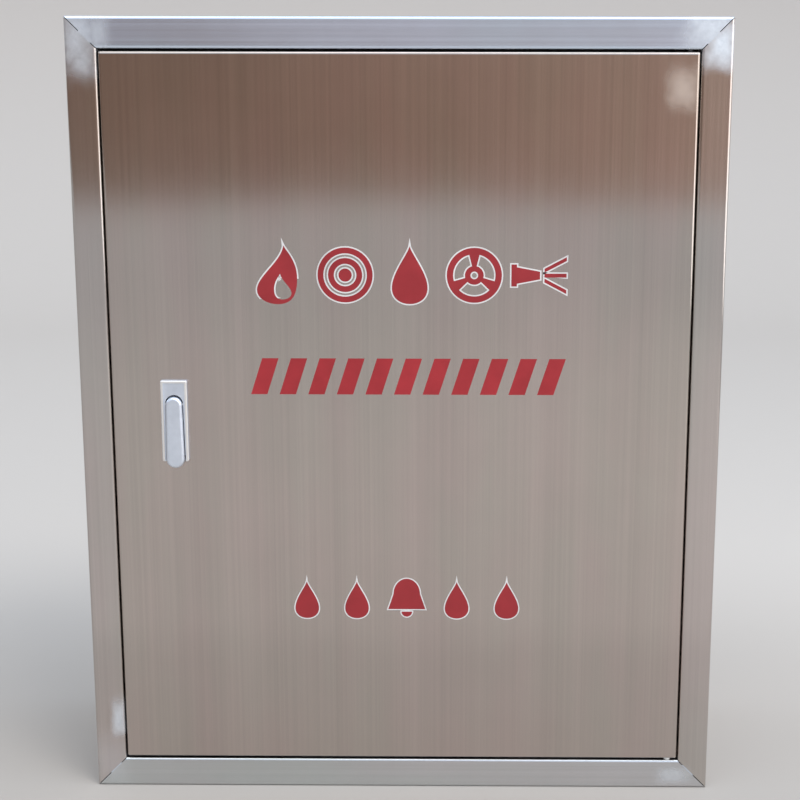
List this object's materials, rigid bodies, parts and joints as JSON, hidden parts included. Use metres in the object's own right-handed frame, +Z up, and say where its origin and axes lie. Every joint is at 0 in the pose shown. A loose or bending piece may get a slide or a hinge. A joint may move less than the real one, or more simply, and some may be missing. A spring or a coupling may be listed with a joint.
{
  "type": "standpipe cabinet",
  "caption": "Wall cabinet of brushed stainless sheet for a fire standpipe: flush hinged door with pull-lever latch; hose valve, hose reel and nozzle inside.",
  "frame": {"origin": "on the underside of the box, centred in width and in the depth from the front face to the wall face", "axes": "+X to the right of someone facing the door, +Y from the door towards the wall, +Z up"},
  "size_m": [0.65, 0.249, 0.8],
  "materials": {
    "stainless": "brushed, satin",
    "stainless_weld": "dressed weld, polished",
    "zinc_sheet": "zinc plated, dull",
    "latch_chrome": "satin chrome on die-cast zinc",
    "plated_fastener": "bright zinc",
    "blackened_steel": "black oxide, oiled",
    "rubber_black": "moulded rubber",
    "foam_black": "closed-cell foam strip",
    "nylon": "natural nylon",
    "safety_red": "red enamel",
    "brass": "cast and turned",
    "aluminium": "cast, lightly tumbled"
  },
  "bodies": {
    "cabinet": {"frame_top_rail": "stainless", "frame_bottom_rail": "stainless", "frame_left_stile": "stainless", "frame_right_stile": "stainless", "corner_welds": "stainless_weld", "corner_gussets": "zinc_sheet", "back_panel": "stainless", "left_side_panel": "stainless", "right_side_panel": "stainless", "top_panel": "stainless", "bottom_panel": "stainless", "riser_grommet": "rubber_black", "top_blanking_cap": "stainless", "left_stop": "stainless", "right_stop": "stainless", "top_stop": "stainless", "bottom_stop": "stainless", "door_seal": "foam_black", "hinge_plates": "zinc_sheet", "hinge_pins": "blackened_steel", "hinge_washer": "nylon", "strike_plate": "zinc_sheet", "valve_body": "safety_red", "valve_bonnet": "safety_red", "gland_nut": "brass", "outlet_coupling": "aluminium", "outlet_seal_ring": "rubber_black", "valve_support_plate": "zinc_sheet", "support_posts": "zinc_sheet", "valve_u_bolt": "plated_fastener", "u_bolt_nuts": "plated_fastener", "reel_base_plate": "zinc_sheet", "reel_base_bolts": "plated_fastener", "reel_axle": "plated_fastener", "reel_nut": "plated_fastener", "nozzle_hook_left": "zinc_sheet", "nozzle_hook_right": "zinc_sheet", "hook_screws": "plated_fastener"},
    "door": {"door_panel": "stainless", "door_stiffeners": "zinc_sheet", "door_hinge_plates": "zinc_sheet", "latch_housing": "latch_chrome", "lever_pin": "plated_fastener", "bolt_spring": "plated_fastener", "latch_case": "zinc_sheet", "latch_case_nuts": "plated_fastener"},
    "lever": {"latch_lever": "latch_chrome"},
    "bolt": {"latch_bolt": "plated_fastener"},
    "disc": {"valve_disc": "brass"},
    "wheel": {"valve_stem": "brass", "handwheel": "safety_red", "handwheel_nut": "plated_fastener"},
    "reel": {"reel_hub": "safety_red", "reel_front_disc": "safety_red", "reel_back_disc": "safety_red"},
    "nozzle": {"nozzle_barrel": "aluminium", "nozzle_coupling": "aluminium", "nozzle_tip": "brass"}
  },
  "joints": [
    {"name": "door_swing", "type": "hinge", "parent": "cabinet", "child": "door", "pos_m": [0.283, -0.1145, 0.4], "axis": [0, 0, 1], "range_deg": [0, 125]},
    {"name": "lever_pull", "type": "hinge", "parent": "door", "child": "lever", "pos_m": [-0.2292, -0.1218, 0.4169], "axis": [-1, 0, 0], "range_deg": [0, 28]},
    {"name": "bolt_slide", "type": "slide", "parent": "door", "child": "bolt", "axis": [1, 0, 0], "range_m": [0, 0.01], "stiffness_N_per_m": 100, "springref_m": -0.01, "deforming": ["bolt_spring"]},
    {"name": "stem_lift", "type": "slide", "parent": "cabinet", "child": "disc", "axis": [0, 0, 1], "range_m": [0, 0.016]},
    {"name": "handwheel_turn", "type": "hinge", "parent": "disc", "child": "wheel", "pos_m": [-0.185, 0.019, 0.336], "axis": [0, 0, 1], "range_deg": [0, 1440]},
    {"name": "reel_spin", "type": "hinge", "parent": "cabinet", "child": "reel", "pos_m": [0.125, 0.048, 0.43], "axis": [0, 1, 0], "continuous": true},
    {"name": "nozzle_lift", "type": "slide", "parent": "cabinet", "child": "nozzle", "axis": [0, 0, 1], "range_m": [0, 0.03]}
  ],
  "couplings": [
    {"joint": "bolt_slide", "follows": "lever_pull", "m_per_rad": 0.02045},
    {"joint": "stem_lift", "follows": "handwheel_turn", "m_per_rad": 0.0006366}
  ]
}
